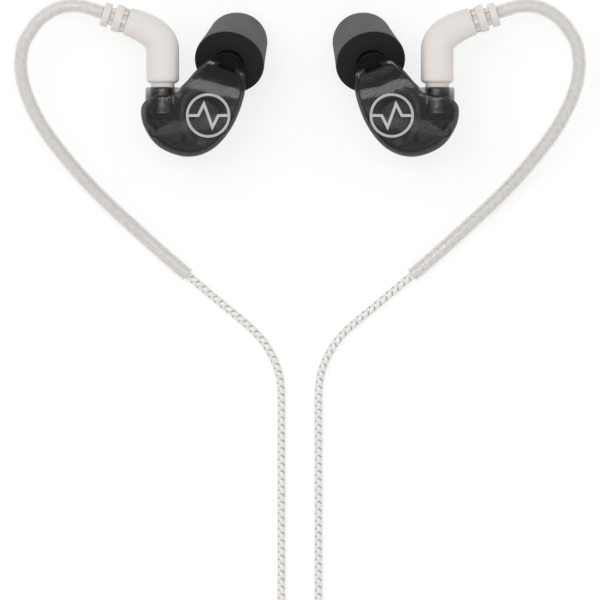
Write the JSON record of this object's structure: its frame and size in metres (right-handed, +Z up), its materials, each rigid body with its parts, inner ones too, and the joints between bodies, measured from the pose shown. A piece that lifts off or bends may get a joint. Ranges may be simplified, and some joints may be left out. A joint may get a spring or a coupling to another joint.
{
  "type": "in-ear monitors",
  "caption": "Pair of in-ear monitors with smoked see-through shells, foam tips and a detachable clear braided cable with ear hooks, laid flat.",
  "frame": {"origin": "middle of the pair at the height of the surface it lies on, under the centre of the box round the earpieces and ear hooks", "axes": "+X from the left earpiece to the right one as seen from above, +Y towards the tops of the ear hooks, +Z up out of the face plates"},
  "size_m": [0.1082, 0.2129, 0.0167],
  "materials": {
    "smoked_shell": "polished, smoke-tinted and see-through",
    "smoked_plate": "polished, smoke-tinted and see-through",
    "silver_mark": "satin silver ink",
    "steel": "satin",
    "driver_film": "satin film",
    "clear_tube": "clear",
    "circuit_board": "matte solder mask",
    "red_wire": "enamelled",
    "dark_wire": "enamelled",
    "insulator": "moulded",
    "black_nozzle": "moulded",
    "core_rubber": "soft tube",
    "foam": "fine slow-recovery foam",
    "gold_contact": "gold plated",
    "frosted_boot": "soft translucent off-white moulding",
    "clear_jacket": "clear soft tube over a silver-white braid",
    "braided_lead": "silver-white twisted strands in a clear jacket",
    "jack_housing": "satin"
  },
  "bodies": {
    "cable": {"left_elbow_boot": "frosted_boot", "left_plug_barrel": "gold_contact", "left_plug_pin": "gold_contact", "left_strain_relief": "frosted_boot", "left_hook_tube": "clear_jacket", "left_lead": "braided_lead", "right_elbow_boot": "frosted_boot", "right_plug_barrel": "gold_contact", "right_plug_pin": "gold_contact", "right_strain_relief": "frosted_boot", "right_hook_tube": "clear_jacket", "right_lead": "braided_lead", "lead_coil": "braided_lead", "cable_split": "frosted_boot", "main_lead": "braided_lead", "main_coil": "braided_lead", "main_tail": "braided_lead", "jack_boot": "frosted_boot", "jack_grip": "jack_housing", "jack_sleeve": "gold_contact", "jack_ring": "gold_contact", "jack_insulator": "insulator", "jack_tip": "gold_contact"},
    "slider": {"chin_slider": "frosted_boot"},
    "left_coupling": {"left_snap_ring": "steel"},
    "left_earpiece": {"left_shell": "smoked_shell", "left_face_plate": "smoked_plate", "left_face_mark": "silver_mark", "left_driver_can": "steel", "left_driver_magnet": "steel", "left_driver_diaphragm": "driver_film", "left_armature_driver": "steel", "left_sound_tube": "clear_tube", "left_crossover_board": "circuit_board", "left_red_wire": "red_wire", "left_dark_wire": "dark_wire", "left_socket_barrel": "steel", "left_socket_insulator": "insulator", "left_nozzle": "black_nozzle", "left_nozzle_filter": "steel"},
    "left_tip": {"left_tip_core": "core_rubber", "left_foam_tip": "foam"},
    "right_coupling": {"right_snap_ring": "steel"},
    "right_earpiece": {"right_shell": "smoked_shell", "right_face_plate": "smoked_plate", "right_face_mark": "silver_mark", "right_driver_can": "steel", "right_driver_magnet": "steel", "right_driver_diaphragm": "driver_film", "right_armature_driver": "steel", "right_sound_tube": "clear_tube", "right_crossover_board": "circuit_board", "right_red_wire": "red_wire", "right_dark_wire": "dark_wire", "right_socket_barrel": "steel", "right_socket_insulator": "insulator", "right_nozzle": "black_nozzle", "right_nozzle_filter": "steel"},
    "right_tip": {"right_tip_core": "core_rubber", "right_foam_tip": "foam"}
  },
  "joints": [
    {"name": "slider_slide", "type": "slide", "parent": "cable", "child": "slider", "axis": [0, 1, 0], "range_m": [0, 0.036]},
    {"name": "left_swivel", "type": "hinge", "parent": "cable", "child": "left_coupling", "pos_m": [-0.0259, 0.00766, 0.0126], "axis": [0, 1, 0], "range_deg": [-160, 120]},
    {"name": "left_unplug", "type": "slide", "parent": "left_coupling", "child": "left_earpiece", "axis": [0, -1, 0], "range_m": [0, 0.006]},
    {"name": "left_tip_pull", "type": "slide", "parent": "left_earpiece", "child": "left_tip", "axis": [0.1812, 0.498, -0.848], "range_m": [0, 0.008]},
    {"name": "right_swivel", "type": "hinge", "parent": "cable", "child": "right_coupling", "pos_m": [0.0259, 0.00766, 0.0126], "axis": [0, -1, 0], "range_deg": [-160, 120]},
    {"name": "right_unplug", "type": "slide", "parent": "right_coupling", "child": "right_earpiece", "axis": [0, -1, 0], "range_m": [0, 0.006]},
    {"name": "right_tip_pull", "type": "slide", "parent": "right_earpiece", "child": "right_tip", "axis": [-0.1812, 0.498, -0.848], "range_m": [0, 0.008]}
  ]
}
